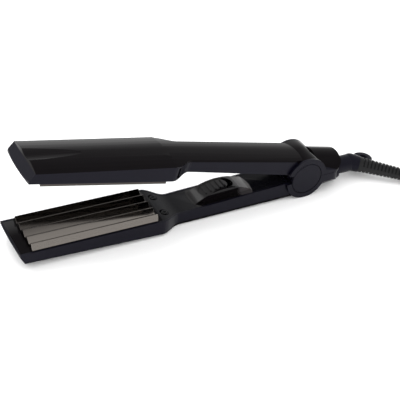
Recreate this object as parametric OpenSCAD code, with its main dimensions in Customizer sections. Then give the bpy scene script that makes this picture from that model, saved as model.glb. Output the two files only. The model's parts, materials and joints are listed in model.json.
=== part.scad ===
// Hair crimper: two arms on a sprung hinge, a pair of meshing corrugated plates, a sliding
// switch in the lower handle and a mains lead on a swivel, with the spare lead tied in a hank.
// Millimetres. X runs from the tip (-X) to the lead, -Y is the near side, and Z = 0 is the table.
// The hinge axis is parallel to Y, over the origin. An arm is drawn in its own frame, hanging
// below the closing plane Z = 0; the lower arm is lifted to the hinge, the upper one is also
// mirrored and opened.

/* [Hinge] */
// Radius of the hinge barrel, which is also the height of its axis over the table
barrel_r = 19.6; // [18.8:0.1:21]
// Half of the barrel's width
barrel_half = 17.4; // [16.8:0.1:19]
// Opening between the arms at rest
open_angle = 12.5; // [8:0.5:15]
// Radius of the round cap at each end of the barrel
cap_r = 14.6; // [14:0.1:15]
// Thickness of a hinge cap
cap_t = 1.9; // [1.4:0.1:2.4]
// Radius of the hinge pin
pin_r = 2.5; // [2:0.1:3.5]
// Radial clearance of the hinge pin in the upper arm, and of the lead's journal
running_gap = 0.06; // [0.03:0.01:0.09]
// Diameter of the hinge spring's wire
spring_wire = 1.6; // [1:0.1:2]
// Turns of the hinge spring
spring_turns = 5; // [3:1:6]

/* [Arm] */
// From the hinge axis to the tip
tip_x = 262.5; // [240:0.5:280]
// How far the tip's edge bows out in the middle
tip_bow = 1.3; // [0.5:0.1:3]
// How far the end face leans back over the height of the side band
tip_lean = 4.9; // [2:0.1:7]
// From the hinge axis to the rear end of the wide head
head_x = 141; // [135:1:150]
// From the hinge axis to where the handle reaches its own width
waist_x = 121.5; // [116:0.5:126]
// Half of the head's width
head_half = 23.5; // [22.5:0.1:26]
// Half of the handle's width
handle_half = 14.8; // [14.5:0.1:16]
// Head rim below the closing plane
head_rim = 4.1; // [3.6:0.1:5]
// Handle rim below the closing plane, at the waist
waist_rim = 7.3; // [6.5:0.1:8]
// Handle rim below the closing plane, at the barrel
hinge_rim = 2.3; // [1.6:0.1:3]
// Height of the side band at the tip
band_tip = 8.6; // [7.5:0.1:9.5]
// Height of the side band at the head's rear end
band_head = 12.9; // [12:0.1:14]
// Height of the side band at the waist
band_waist = 9.2; // [8.8:0.1:11]
// Height of the side band at the barrel
band_hinge = 12.9; // [12.5:0.1:14.5]
// Height of the cover's crown below the side band
crown = 3; // [2:0.1:4]
// Radius of the crown across the arm
crown_r = 95; // [80:1:140]
// Wall of the shells
wall = 1.8; // [1.4:0.1:2.2]
// Wall of the covers
cover_t = 2; // [1.5:0.1:2.4]
// Gap between pieces that are slipped together
slip = 0.2; // [0.1:0.05:0.3]

/* [Tail] */
// From the hinge axis to the rear end of the arms
tail_x = 36; // [34:0.5:40]
// Radius of the tail's rear corners, seen from above
tail_corner = 8; // [5:0.5:10]
// Depth of the tail's side band at the barrel
tail_band = 11.6; // [10:0.1:13]
// Depth of the tail's side band at the rear end
tail_end_band = 8.4; // [7.5:0.1:10]
// Radius of the tail's cover, across
tail_r = 20; // [18:0.5:24]
// Depth of the lower tail's cover at the rear end
tail_depth = 16.8; // [15.5:0.1:17.4]
// Depth of the upper tail's cover at the rear end
upper_tail_depth = 19; // [17:0.1:19.4]

/* [Plates] */
// Front end of a plate, from the hinge axis
plate_front = 252.2; // [235:0.2:254]
// From the head's rear end to the rear end of a plate
plate_set = 3.4; // [2:0.2:8]
// Half of a plate's width
plate_half = 21.2; // [20:0.1:21.4]
// From ridge to ridge
ridge_pitch = 9.4; // [8.5:0.1:9.6]
// Height of the ridges
ridge_depth = 3.8; // [2:0.1:4]
// How far the ridges rise past the closing plane
ridge_rise = 1.4; // [0.8:0.1:1.6]
// Underside of a plate below the closing plane
plate_back = 6; // [5.5:0.1:7]
// Length of a heater
heater_len = 80; // [60:1:90]
// Width of a heater
heater_w = 18; // [12:1:22]
// Thickness of a heater
heater_t = 1.6; // [1:0.1:1.8]

/* [Switch] */
// Middle of the switch's hump, from the hinge axis
switch_x = 77.3; // [76:0.1:79]
// Height of the hump over the inner panel
hump_h = 8; // [6:0.1:8.4]
// Radius of the hump along the arm
hump_r = 50; // [44:1:54]
// Half of the hump's width
hump_half = 8.6; // [8.4:0.1:9.6]
// Length of the slider
slider_len = 26; // [23:0.5:27]
// Width of the slider
slider_w = 12.4; // [11:0.2:12.4]
// Travel of the slider, towards the hinge
slider_travel = 5; // [3:0.5:5.5]
// Distance between the slider's ribs
rib_step = 4.5; // [4:0.1:4.6]

/* [Lead] */
// Swivel axis below the hinge axis
swivel_drop = 7.2; // [6.8:0.1:7.6]
// Radius of the swivel's journal in the tail
journal_r = 5; // [4:0.1:5.2]
// Radius of the collar behind the tail
collar_r = 11; // [9:0.1:11.6]
// Radius of the neck and its elbow
neck_r = 8; // [7:0.1:8.5]
// From the hinge axis to the elbow's bend
elbow_x = 58; // [56:0.5:60]
// Turn of the lead at the elbow, towards the near side
lead_yaw = 35; // [33:0.5:37]
// Fall of the lead from the elbow
lead_dip = 6; // [5.5:0.1:6.5]
// Length of the strain relief from the elbow's bend
relief_len = 62; // [60:0.5:64]
// Radius of the strain relief at the elbow
relief_r = 6.9; // [6:0.1:7.4]
// Radius of the strain relief at its free end
relief_end_r = 5; // [4.4:0.1:5.4]
// Distance between the strain relief's ribs
rib_pitch = 3.3; // [2.5:0.1:4]
// Diameter of the mains lead
cord_d = 6; // [5.6:0.1:6.2]
// Radius of the hole in the hang loop
loop_hole_r = 5.2; // [4:0.1:5.6]
// Thickness of the hang loop
loop_t = 5; // [3:0.5:7]

/* [Hank] */
// Straight run of the hank
hank_run = 104; // [92:1:116]
// Radius of the innermost fold, to the lead's middle
hank_fold_r = 18; // [18:0.5:20]
// Sideways step from loop to loop
hank_step = 7.2; // [7:0.1:8]
// How far the tie draws the runs in
hank_pull = 12; // [6:0.5:13]
// Width of the tie
tie_w = 12; // [8:0.5:16]
// Thickness of the tie
tie_t = 0.9; // [0.6:0.1:0.9]

/* [Plug] */
// Length of the plug's body
plug_len = 36; // [32:0.5:40]
// Width of the plug's body at its face
plug_w = 35; // [33:0.5:37]
// Thickness of the plug's body
plug_t = 13.6; // [12:0.1:13.8]
// Distance between the plug's pins
plug_pitch = 18.6; // [17.5:0.1:19.2]
// Radius of a plug pin
plug_pin_r = 2; // [1.9:0.05:2.4]
// Length of a plug pin
plug_pin_len = 19; // [17:0.5:20]

/* [Hidden] */
ARM_PIECES = ["cover", "shell", "inner_panel", "plate_carrier", "plate", "heater", "mica_sheet",
    "heater_clamp", "screws", "heater_leads"];
$fn = 64;
eps = 0.02;          // overlap of pieces that are unioned
far = 400;           // longer than the whole object
wide = 60;           // more than an arm's half width and its depth
split = 0.15;        // each tail's clearance from the split plane
swivel_z = barrel_r - swivel_drop;
plate_rear = head_x + plate_set;

// Circuit board, in the lower handle
board_len = 50;
board_w = 22;
board_x = 84;
board_top = -13.8;
board_t = 1.6;
switch_top = -12.1;

// Colours
GLOSS = "#101012";
SATIN = "#23232a";
TAUPE = "#8f847a";
METAL = "#b9bcc0";
BRASS = "#c9a24a";

function s_curve(t) = (1 - cos(180 * max(0, min(1, t)))) / 2;
function blend(a, b, t) = a + (b - a) * t;
function neck_in(x) = s_curve((x + head_x) / (head_x - waist_x));

// ---- outlines of an arm, in its own frame ----

SHOULDER_STEPS = 10;
barrel_front = 14;   // where the handle's outlines run into the barrel
function shoulder_xs() = [for (i = [0 : SHOULDER_STEPS])
    -head_x + (head_x - waist_x) * i / SHOULDER_STEPS];
function handle_rim(x) = blend(waist_rim, hinge_rim, (x + waist_x) / (waist_x - barrel_front));
function rim_line(drop) = concat(
    [[-tip_x - tip_bow, -head_rim - drop]],
    [for (x = shoulder_xs()) [x, -blend(head_rim, waist_rim, neck_in(x)) - drop]],
    [[-barrel_front, -hinge_rim - drop]]);
function cover_line(drop) = [
    [-barrel_front, -hinge_rim - band_hinge - drop],
    [-waist_x, -waist_rim - band_waist - drop],
    [-head_x, -head_rim - band_head - drop],
    [-tip_x - tip_bow + tip_lean, -head_rim - band_tip - drop]];

// Inner face of the end wall at a depth below the closing plane
function end_in(depth) = -tip_x - tip_bow + wall + 0.4 + tip_lean * (depth - head_rim) / band_tip;

// Plan of the head and handle, drawn in by inset
module plan_2d(inset) {
    near = concat(
        [for (i = [0 : 8]) let (y = (head_half - inset) * (i - 8) / 8)
            [-tip_x - tip_bow * (1 - pow(y / head_half, 2)) , y]]);
    side = [for (x = shoulder_xs()) [x, blend(head_half, handle_half, neck_in(x)) - inset]];
    half_in = handle_half - inset;
    polygon(concat(
        near,
        [for (i = [7 : -1 : 0]) [near[i][0], -near[i][1]]],
        side,
        [[0, half_in], [0, -half_in]],
        [for (i = [SHOULDER_STEPS : -1 : 0]) [side[i][0], -side[i][1]]]));
}

// A prism across the arm, from an outline of [x, z] points
module across(half) {
    translate([0, half, 0]) rotate([90, 0, 0]) linear_extrude(height = 2 * half) children();
}

module plan_prism(inset) {
    translate([0, 0, -wide]) linear_extrude(height = 2 * wide) plan_2d(inset);
}

// Outline from the rim to the cover line, the rim lowered by drop and the end moved back
module band_2d(drop, back) {
    intersection() {
        polygon(concat(rim_line(drop), cover_line(0)));
        // the leaning end face, moved back
        polygon([[-tip_x - tip_bow + back, -head_rim], [0, -head_rim + 30], [0, -wide],
            [-tip_x - tip_bow + back + tip_lean * (wide - head_rim) / band_tip, -wide]]);
    }
}

// Everything of an arm's own half at the barrel and tail: below the split, whose rear half
// leans by relief so that the upper tail lies on the lower one when the arms are open
module own_half_2d(relief) {
    polygon([[-wide, -hinge_rim], [-barrel_front, -hinge_rim], [-barrel_front + 4, -split],
        [0, -split], [wide, -split - wide * tan(relief)], [wide, -wide], [-wide, -wide]]);
}

module ring_y(r_out, r_in, y0, y1) {
    for (s = [-1, 1]) translate([0, s < 0 ? -y0 : y1, 0]) rotate([90, 0, 0])
        difference() {
            cylinder(r = r_out, h = y1 - y0);
            translate([0, 0, -1]) cylinder(r = r_in, h = y1 - y0 + 2);
        }
}

module disc_y(r, y0, y1) {
    translate([0, y1, 0]) rotate([90, 0, 0]) cylinder(r = r, h = y1 - y0);
}

module tail_plan(inset) {
    half = barrel_half - inset;
    corner = tail_corner - inset;
    translate([0, 0, -wide]) linear_extrude(height = 2 * wide) union() {
        translate([8, -half]) square([tail_x - inset - corner - 8, 2 * half]);
        translate([8, -half + corner]) square([tail_x - inset - 8, 2 * (half - corner)]);
        for (s = [-1, 1]) translate([tail_x - inset - corner, s * (half - corner)])
            circle(r = corner);
    }
}

// The tail's cover, a cylinder along the arm that falls towards the rear end
module tail_round(inset, relief = 0) {
    fall = atan((barrel_r - (relief > 0 ? upper_tail_depth : tail_depth)) / tail_x);
    translate([0, 0, -barrel_r + tail_r]) rotate([0, 90 - fall, 0])
        translate([0, 0, -wide]) cylinder(r = tail_r - inset, h = 2 * wide, $fn = 96);
}

module tail_band_2d(drop) {
    polygon([[-wide, wide], [wide, wide], [wide, -tail_end_band + drop], [tail_x, -tail_end_band + drop],
        [barrel_front, -tail_band + drop], [-wide, -tail_band + drop]]);
}

// ---- the glossy cover ----

cover_slope = atan((band_head - band_tip) / (tip_x - head_x));
handle_slope = atan((waist_rim + band_waist - hinge_rim - band_hinge) / (waist_x - barrel_front));
// The crown over the head and, with another slope, over the handle
module crown_round(deep) {
    r = crown_r - (crown - deep);
    union() {
        intersection() {
            translate([-head_x, 0, -head_rim - band_head - crown + crown_r])
                rotate([0, -90 + cover_slope, 0]) translate([0, 0, -8])
                    cylinder(r = r, h = tip_x, $fn = 180);
            translate([-far, -wide, -wide]) cube([far - head_x + 1, 2 * wide, 2 * wide]);
        }
        intersection() {
            translate([-waist_x, 0, -waist_rim - band_waist - crown + crown_r])
                rotate([0, 90 - handle_slope, 0]) translate([0, 0, -wide])
                    cylinder(r = r, h = wide + head_x, $fn = 180);
            translate([-head_x, -wide, -wide]) cube([head_x, 2 * wide, 2 * wide]);
        }
    }
}

module handle_cover_solid(inset, deep) {
    intersection() {
        plan_prism(inset);
        across(wide) polygon(concat(cover_line(deep - crown), [
            [-tip_x - tip_bow + tip_lean + inset + 2.4 * (1 - inset / 4), -wide],
            [-barrel_front, -wide]]));
        crown_round(deep);
    }
}

ring_in = barrel_half - 2;          // the cover lies between the barrel's end rings
tube_out = barrel_r - cover_t;      // outside of the shell's half tube, under the cover
tube_in = tube_out - 2.2;
run_top = -hinge_rim - band_hinge - 0.1;
screw_x = head_x - 6.5;
screw_y = 11;
boss_r = 3;
screw_r = 1.2;
screw_len = 7;
screw_head = [2.6, 1.4];            // radius and height

module cover(relief) {
    color(GLOSS) difference() {
        union() {
            difference() {
                handle_cover_solid(0, crown);
                handle_cover_solid(cover_t, crown - cover_t);
                translate([-barrel_front - 6, -wide, -wide]) cube([wide, 2 * wide, 2 * wide]);
            }
            // run of the handle's cover into the barrel
            intersection() {
                difference() {
                    plan_prism(0);
                    disc_y(barrel_r - cover_t, -wide, wide);
                    translate([-far, -far, -hinge_rim - band_hinge + cover_t - crown])
                        cube([far - barrel_front - 6, 2 * far, wide]);
                }
                across(wide) polygon([[-barrel_front - 6 - eps, run_top], [-3, run_top],
                    [-3, -wide], [-barrel_front - 6 - eps, -wide]]);
                crown_round(crown);
                translate([-wide, -wide, -wide]) cube([2 * wide, 2 * wide, wide]);
            }
            intersection() {
                difference() {
                    disc_y(barrel_r, -ring_in, ring_in);
                    disc_y(tube_out, -wide, wide);
                }
                across(wide) own_half_2d(relief);
                across(wide) polygon([
                    [eps - barrel_front, -hinge_rim], [wide, -hinge_rim + 30],
                    [wide, -wide], [-barrel_front - 3, -wide],
                    [-barrel_front - 3, run_top], [eps - barrel_front, run_top]]);
            }
            // tail
            intersection() {
                difference() {
                    intersection() { tail_plan(0); tail_round(0, relief); }
                    intersection() { tail_plan(cover_t); tail_round(cover_t, relief); }
                    disc_y(tube_out, -wide, wide);
                    across(wide + 1) tail_band_2d(0);
                    for (s = [-1, 1]) translate([8, s > 0 ? ring_in : -wide, -wide])
                        cube([sqrt(pow(barrel_r, 2) - pow(tail_band, 2)) - 8, wide - ring_in, 2 * wide]);
                }
                across(wide) own_half_2d(relief);
            }
            // bosses for the screws of the inner panel
            for (s = [-1, 1]) intersection() {
                translate([-screw_x, s * screw_y, -30]) cylinder(r = boss_r, h = 30 - seat_depth);
                crown_round(crown - cover_t + eps);
            }
        }
        for (s = [-1, 1]) translate([-screw_x, s * screw_y, well_floor - screw_len - 0.6])
            cylinder(r = screw_r + 0.1, h = 2 * screw_len);
        tip_scoop();
        swivel_way(relief);
        lead_way(-24);
        // flat land level with the barrel's underside, on which the lower arm rests
        translate([-far, -wide, -barrel_r - 20]) cube([far, 2 * wide, 20]);
    }
}

// Room for the swivel's journal in the lower tail and for its collar behind the upper one
module swivel_way(relief) {
    if (relief > 0)
        mirror([0, 0, 1]) rotate([0, -relief, 0]) translate([tail_x - 0.2, 0, -swivel_drop])
            rotate([0, 90, 0]) cylinder(r = collar_r + 0.6, h = 10);
    else
        translate([9, 0, -swivel_drop]) rotate([0, 90, 0]) cylinder(r = journal_r + slip, h = 40);
}

function panel_top(x) = x > waist_x ? blend(head_rim, waist_rim, neck_in(-x)) : handle_rim(-x);
panel_t = 2.2;
function panel_under(x) = panel_top(x) + slip + panel_t;

seat_depth = panel_under(screw_x - boss_r);   // of the seats on the bosses

scoop_r = 26;
scoop_len = 42;
scoop_deep = 1.7;
// Leaf-shaped finger scoop in the cover at the tip: a leaning cylinder
module tip_scoop() {
    lean = atan(scoop_deep / scoop_len) + cover_slope;
    x = -tip_x + tip_lean + scoop_len;
    z = -head_rim - crown - blend(band_tip, band_head, (tip_x + x) / (tip_x - head_x));
    translate([x, 0, z - scoop_r]) rotate([0, lean - 90, 0])
        cylinder(r = scoop_r, h = 2 * scoop_len, $fn = 96);
}

// ---- the satin shell: side bands, barrel ends, knuckles and tail walls ----

slit_w = 2.4;
knuckle_gap = 0.3;
outer_knuckle = 11.8;               // inner face of the lower arm's knuckles
inner_knuckle = [7.4, outer_knuckle - knuckle_gap];
knuckle_r = 13.6;

module shell(relief) {
    color(SATIN) difference() {
        union() {
            // side bands of the head and handle
            difference() {
                intersection() {
                    plan_prism(0);
                    across(wide) band_2d(0, 0);
                }
                intersection() {
                    plan_prism(wall);
                    across(wide) polygon([[end_in(-20), 20], [end_in(wide), -wide], [20, -wide], [20, 20]]);
                }
                disc_y(tube_out - 1, -wide, wide);
            }
            intersection() {
                union() {
                    ring_y(barrel_r, cap_r + 0.3, ring_in, barrel_half);
                    ring_y(tube_out, cap_r + 0.3, handle_half - wall, ring_in + eps);
                    difference() {
                        disc_y(tube_out, -ring_in, ring_in);
                        disc_y(tube_in, -wide, wide);
                    }
                    knuckles(relief, tube_in + eps);
                }
                across(wide) own_half_2d(relief);
            }
            knuckles(relief, knuckle_r);
            // tail walls
            intersection() {
                difference() {
                    intersection() { tail_plan(0); tail_round(0, relief); }
                    tail_plan(wall);
                    disc_y(tube_out - 1, -wide, wide);
                }
                across(wide) own_half_2d(relief);
                across(wide) tail_band_2d(0);
            }
        }
        translate([0, wide, 0]) rotate([90, 0, 0])
            cylinder(r = relief > 0 ? pin_r + running_gap : pin_r, h = 2 * wide);
        swivel_way(relief);
        // slit in the upper arm's shoulder
        if (relief > 0)
            translate([-head_x + 4, -wide, -head_rim - 11.4]) cube([slit_w, 2 * wide, 9.6]);
        lead_way(-24);
        // ledge for a leg of the spring
        translate([-24, -6.4, -leg_z - 0.05]) cube([20, 12.8, 2]);
    }
    if (relief == 0) color(SATIN) bush_cradle();
}

// Way of the leads through the half tube of the barrel
module lead_way(from) { translate([from, -6.4, -14.4]) cube([24 - from, 12.8, 7.4]); }

// Saddle that joins the rear wall and holds the swivel's bush
module bush_cradle() {
    difference() {
        union() {
            intersection() {
                translate([bush_x[0] + 0.2, -9, -20]) cube([tail_x - wall - bush_x[0], 18, 15]);
                tail_round(cover_t + slip);
                tail_plan(cover_t + slip);
            }
            translate([bush_x[0] + 0.2, -9, 0.2 - tail_end_band])
                cube([tail_x - wall - bush_x[0], 18, tail_end_band - 5.2]);
        }
        translate([0, 0, -swivel_drop]) rotate([0, 90, 0]) cylinder(r = bush_r, h = wide);
    }
}

module knuckles(relief, r) {
    y = relief > 0 ? inner_knuckle : [outer_knuckle, ring_in];
    for (s = [-1, 1]) disc_y(r, s > 0 ? y[0] : -y[1], s > 0 ? y[1] : -y[0]);
}

// ---- inner panel of the handle ----

panel_rear = 18;
deck_slope = atan((waist_rim - hinge_rim) / (waist_x - barrel_front));
seat_t = 1.2;                       // depth of the switch housing's seat in the panel
seat_hole = [40, 14];               // hole of the panel under the hump
well_r = 4.1;                       // wells of the panel's screws
seat_r = 5;
well_floor = 1.2 - panel_under(screw_x);
// Frame of the switch: origin on the panel under the hump's crest, X along the panel
module at_switch() {
    translate([-switch_x, 0, -panel_top(switch_x) - slip]) rotate([0, -deck_slope, 0]) children();
}

module inner_panel(has_switch) {
    color(SATIN) difference() {
        union() {
            intersection() {
                plan_prism(wall + slip);
                across(wide) difference() {
                    polygon(concat(rim_line(slip), [[-barrel_front, -wide], [-tip_x, -wide]]));
                    translate([0, -panel_t]) polygon(concat(rim_line(slip),
                        [[-barrel_front, -wide], [-tip_x, -wide]]));
                    translate([-far, -wide]) square([far - head_x + eps, 2 * wide]);
                    translate([-panel_rear, -wide]) square([wide, 2 * wide]);
                }
            }
            // deeper seats of the two screws
            intersection() {
                for (s = [-1, 1]) translate([-screw_x, s * screw_y, -seat_depth])
                    cylinder(r = seat_r, h = panel_t + 4);
                across(wide) polygon(concat(rim_line(slip), [[-barrel_front, -wide], [-tip_x, -wide]]));
                plan_prism(wall + slip);
            }
        }
        for (s = [-1, 1]) translate([-screw_x, s * screw_y, well_floor])
            cylinder(r = well_r, h = 20);
        for (s = [-1, 1]) translate([-screw_x, s * screw_y, -30]) cylinder(r = screw_r + 0.15, h = 40);
        if (has_switch) at_switch() {
            translate([0, 0, -seat_t]) linear_extrude(height = 20) switch_plan(slip);
            translate([-seat_hole[0] / 2, -seat_hole[1] / 2, -20]) cube([seat_hole[0], seat_hole[1], 40]);
        }
    }
}

SWITCH_END_R = 32;
// Plan of the switch housing's flange, with a bowed front and rear end
module switch_plan(clear) {
    intersection() {
        translate([3, 0]) circle(r = SWITCH_END_R + clear);
        translate([-3.5, 0]) circle(r = SWITCH_END_R + clear);
    }
}

// Stadium in plan, standing at a height
module stadium(length, width, x, z, height) {
    translate([x, 0, z]) linear_extrude(height = height) union() {
        square([length - width, width], center = true);
        for (s = [-1, 1]) translate([s * (length - width) / 2, 0]) circle(d = width);
    }
}

// Arch over the inner panel, a cylinder across the arm sunk below the hump's crest
module arch(sunk, half) { translate([0, 0, hump_h - hump_r]) disc_y(hump_r - sunk, -half, half); }

hump_wall = 1.6;
slot_gap = 0.4;
slot_x = -3.7;                      // of the slot's middle from the hump's crest, towards the tip
// Flange in the inner panel, and the hollow hump with the slider's slot
module switch_housing() {
    color(GLOSS) lower_arm() intersection() {
        at_switch() difference() {
            union() {
                translate([0, 0, slip - seat_t]) linear_extrude(height = seat_t - slip) switch_plan(0);
                intersection() {
                    arch(0, hump_half);
                    translate([-wide, -wide, -eps]) cube([2 * wide, 2 * wide, wide]);
                }
            }
            arch(hump_wall, hump_half - hump_wall);
            stadium(slider_len + slider_travel + 2 * slot_gap, slider_w + 2 * slot_gap, slot_x, -10, 40);
        }
        plan_prism(wall + slip);
    }
}

// ---- what an arm's head holds ----

carrier_bottom = 10;
heater_x = (plate_front + plate_rear) / 2;
mica_t = 0.5;
clamp_t = 0.8;
hook_w = 8;

// Black tray that carries the plate and closes the head's inner face
module plate_carrier() {
    color(GLOSS) difference() {
        intersection() {
            plan_prism(wall + slip);
            across(wide) polygon([
                [end_in(head_rim) + slip, -head_rim - slip],
                [-head_x - slip, -head_rim - slip],
                [-head_x - slip, -carrier_bottom],
                [end_in(carrier_bottom) + slip, -carrier_bottom]]);
        }
        // seat of the plate
        translate([-plate_front - slip, -plate_half - slip, -plate_back])
            cube([plate_front - plate_rear + 2 * slip, 2 * (plate_half + slip), 20]);
        // well of the heater
        translate([-heater_x - heater_len / 2 - 1, -heater_w / 2 - 1, -20])
            cube([heater_len + 2, heater_w + 2, 30]);
    }
}

// Corrugated plate: ridges along the arm, staggered by half a pitch from arm to arm
module plate(stagger) {
    top = ridge_rise;
    low = ridge_rise - ridge_depth;
    steps = [for (k = [-4 : 4]) [k * ridge_pitch / 2, (k % 2 == 0) == !stagger ? top : low]];
    edge = stagger ? low + 2 * ridge_depth * (plate_half - 2 * ridge_pitch) / ridge_pitch :
        -head_rim - 0.6;
    color(TAUPE) translate([-plate_front, 0, 0]) rotate([90, 0, 90])
        linear_extrude(height = plate_front - plate_rear) polygon(concat(
            [[-plate_half, -plate_back], [-plate_half, edge]],
            steps,
            [[plate_half, edge], [plate_half, -plate_back]]));
}

module heater() {
    color(METAL) translate([-heater_x - heater_len / 2, -heater_w / 2, -plate_back - heater_t])
        cube([heater_len, heater_w, heater_t]);
}

module mica_sheet() {
    color("#b9a98c") translate([-heater_x - heater_len / 2 - 0.5, -heater_w / 2 - 0.5,
        -plate_back - heater_t - mica_t]) cube([heater_len + 1, heater_w + 1, mica_t]);
}

// Spring strip across the back of the heater, hooked under the carrier
module heater_clamp() {
    z = -plate_back - heater_t - mica_t - clamp_t;
    color(METAL) difference() {
        union() {
            translate([-heater_x - heater_len / 2, -heater_w / 2, z]) cube([heater_len, heater_w, clamp_t]);
            for (s = [-1, 1]) translate([-heater_x + s * heater_len / 4, 0, -carrier_bottom - clamp_t]) {
                translate([-hook_w / 2, -heater_w / 2 - 5, 0]) cube([hook_w, heater_w + 10, clamp_t]);
                translate([-hook_w / 2, -heater_w / 2, 0])
                    cube([hook_w, heater_w, carrier_bottom + clamp_t + z + eps]);
            }
        }
        for (s = [-1, 1]) translate([-heater_x + s * heater_len / 4, 0, -30]) cylinder(r = 1.6, h = wide);
    }
}

// Screws of the inner panel, from its wells into the cover's bosses
module screws() {
    color(METAL) for (s = [-1, 1]) translate([-screw_x, s * screw_y, well_floor]) difference() {
        union() {
            cylinder(r = screw_head[0], h = screw_head[1]);
            translate([0, 0, -screw_len]) cylinder(r = screw_r, h = screw_len + eps);
        }
        // cross recess
        for (a = [0, 90]) rotate(a) translate([-1.7, -0.35, 0.6]) cube([3.4, 0.7, screw_head[1]]);
    }
}

// Two leads of the heater, along the handle
lead_r = 0.9;
lead_y = 4.5;
lead_z = board_top + lead_r;
upper_lead_rear = 20;               // behind the hinge axis, where the upper leads stop
board_lap = 2;                      // of a lead over the end of the board
module heater_leads(end_x) {
    z = lead_z;
    rear = -heater_x + heater_len / 2 - 6;
    color("#7a2a22") for (s = [-1, 1]) {
        translate([rear, s * lead_y, z]) rotate([0, 90, 0]) cylinder(r = lead_r, h = -rear - end_x);
        translate([rear, s * lead_y, z]) sphere(r = lead_r);
        translate([rear, s * lead_y, z])
            cylinder(r = lead_r, h = -z - plate_back - heater_t - mica_t - clamp_t);
    }
}

// Two leads from the swivel's contacts to the circuit board
module supply_leads() {
    color("#7a2a22") lower_arm() for (s = [-1, 1])
        translate([-board_x + board_len / 2 - board_lap, s * lead_y, lead_z]) rotate([0, 90, 0])
            cylinder(r = lead_r, h = board_x - board_len / 2 + board_lap + ring_xs[0] + ring_w / 2);
}

module arm_piece(name, is_upper) {
    relief = is_upper ? open_angle : 0;
    if (name == "cover") cover(relief);
    if (name == "shell") shell(relief);
    if (name == "inner_panel") inner_panel(!is_upper);
    if (name == "plate_carrier") plate_carrier();
    if (name == "plate") plate(is_upper);
    if (name == "heater") heater();
    if (name == "mica_sheet") mica_sheet();
    if (name == "heater_clamp") heater_clamp();
    if (name == "screws") screws();
    if (name == "heater_leads") heater_leads(is_upper ? -upper_lead_rear :
        board_x + board_len / 2 - board_lap);
}

module lower_arm() { translate([0, 0, barrel_r]) children(); }
module upper_arm() { translate([0, 0, barrel_r]) rotate([0, open_angle, 0]) mirror([0, 0, 1]) children(); }

// ---- hinge ----

module hinge_pin() {
    color(METAL) translate([0, 0, barrel_r]) disc_y(pin_r, -ring_in + slip, ring_in - slip);
}

// A tube of the given radius and number of sides along a list of points
function unit(v) = v / norm(v);
function tangent(p, i) = unit(p[min(i + 1, len(p) - 1)] - p[max(i - 1, 0)]);
// Frames are carried along without twist: each is the last one made square to the new tangent
function carried(p, i, n) = i == len(p) - 1 ? [n] :
    concat([n], carried(p, i + 1, unit(n - (n * tangent(p, i + 1)) * tangent(p, i + 1))));
module tube(points, r, sides) {
    t0 = tangent(points, 0);
    start = unit(cross(t0, abs(t0[2]) < 0.9 ? [0, 0, 1] : [1, 0, 0]));
    normals = carried(points, 0, start);
    rings = [for (i = [0 : len(points) - 1]) let (t = tangent(points, i), u = normals[i], v = cross(t, u))
        for (k = [0 : sides - 1]) let (a = 360 * (k + 0.5) / sides)
            points[i] + r * (cos(a) * u + sin(a) * v)];
    last = len(points) - 1;
    polyhedron(rings, concat(
        [[for (k = [sides - 1 : -1 : 0]) k]],
        [for (i = [0 : last - 1], k = [0 : sides - 1], upper = [false, true])
            let (a = i * sides + k, b = i * sides + (k + 1) % sides)
                upper ? [a, b + sides, a + sides] : [a, b, b + sides]],
        [[for (k = [0 : sides - 1]) last * sides + k]]));
}

// Torsion spring round the pin, one leg in each arm
spring_r = pin_r + 0.5 + spring_wire;
spring_pitch = spring_wire + 0.5;
SPRING_STEPS = 14;
leg_x = 17;
leg_z = spring_r + spring_wire / 2;  // underside of a leg below the hinge axis
module torsion_spring() {
    half = spring_turns * spring_pitch / 2;
    turn = 360 * (spring_turns - 1) + 180 - open_angle;
    coil = [for (i = [0 : SPRING_STEPS * spring_turns])
        let (f = i / (SPRING_STEPS * spring_turns), a = 180 - turn * f)
            [spring_r * sin(a), -half + 2 * half * f, spring_r * cos(a)]];
    lean = [-cos(open_angle), 0, sin(open_angle)];
    last = coil[len(coil) - 1];
    color(METAL) translate([0, 0, barrel_r]) tube(concat(
        [[-leg_x, -half, -spring_r], [-leg_x / 2, -half, -spring_r]],
        coil,
        [last + leg_x / 2 * lean, last + leg_x * lean]), spring_wire / 2, 6);
}

module hinge_cap(side) {
    color(SATIN) translate([0, 0, barrel_r]) rotate([90, 0, 0]) scale([1, 1, side])
        translate([0, 0, ring_in + 0.1]) union() {
            cylinder(r = cap_r, h = cap_t - 0.5);
            translate([0, 0, cap_t - 0.5]) cylinder(r1 = cap_r, r2 = cap_r - 0.5, h = 0.5);
        }
}

// ---- switch and circuit ----

module circuit_board() {
    color("#1f5a35") lower_arm() difference() {
        union() {
            translate([-board_x - board_len / 2, -board_w / 2, board_top - board_t])
                cube([board_len, board_w, board_t]);
            // solder pillars that stand on the cover
            for (s = [-1, 1], x = [board_x - 0.4 * board_len, board_x + 0.4 * board_len])
                intersection() {
                    translate([-x, s * 7, -30]) cylinder(r = 1.5, h = 30 + board_top - board_t + eps);
                    crown_round(crown - cover_t - slip);
                }
        }
        for (s = [-1, 1]) translate([-board_x - board_len / 2 + 4, s * 9, -30]) cylinder(r = 1, h = 30);
    }
}

module slide_switch() {
    color(METAL) lower_arm() difference() {
        translate([slot_x - switch_x - 8, -4, board_top]) cube([16, 8, switch_top - board_top]);
        translate([slot_x - switch_x - 1.8 - slider_travel / 2, -1.3, board_top + 0.6])
            cube([3.6 + slider_travel, 2.6, 4]);
    }
}

slider_x = slot_x - slider_travel / 2;      // at rest, at the end towards the tip
slider_sunk = 0.3;
slider_foot = 1.9;
stem = [4, 4.6];
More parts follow.
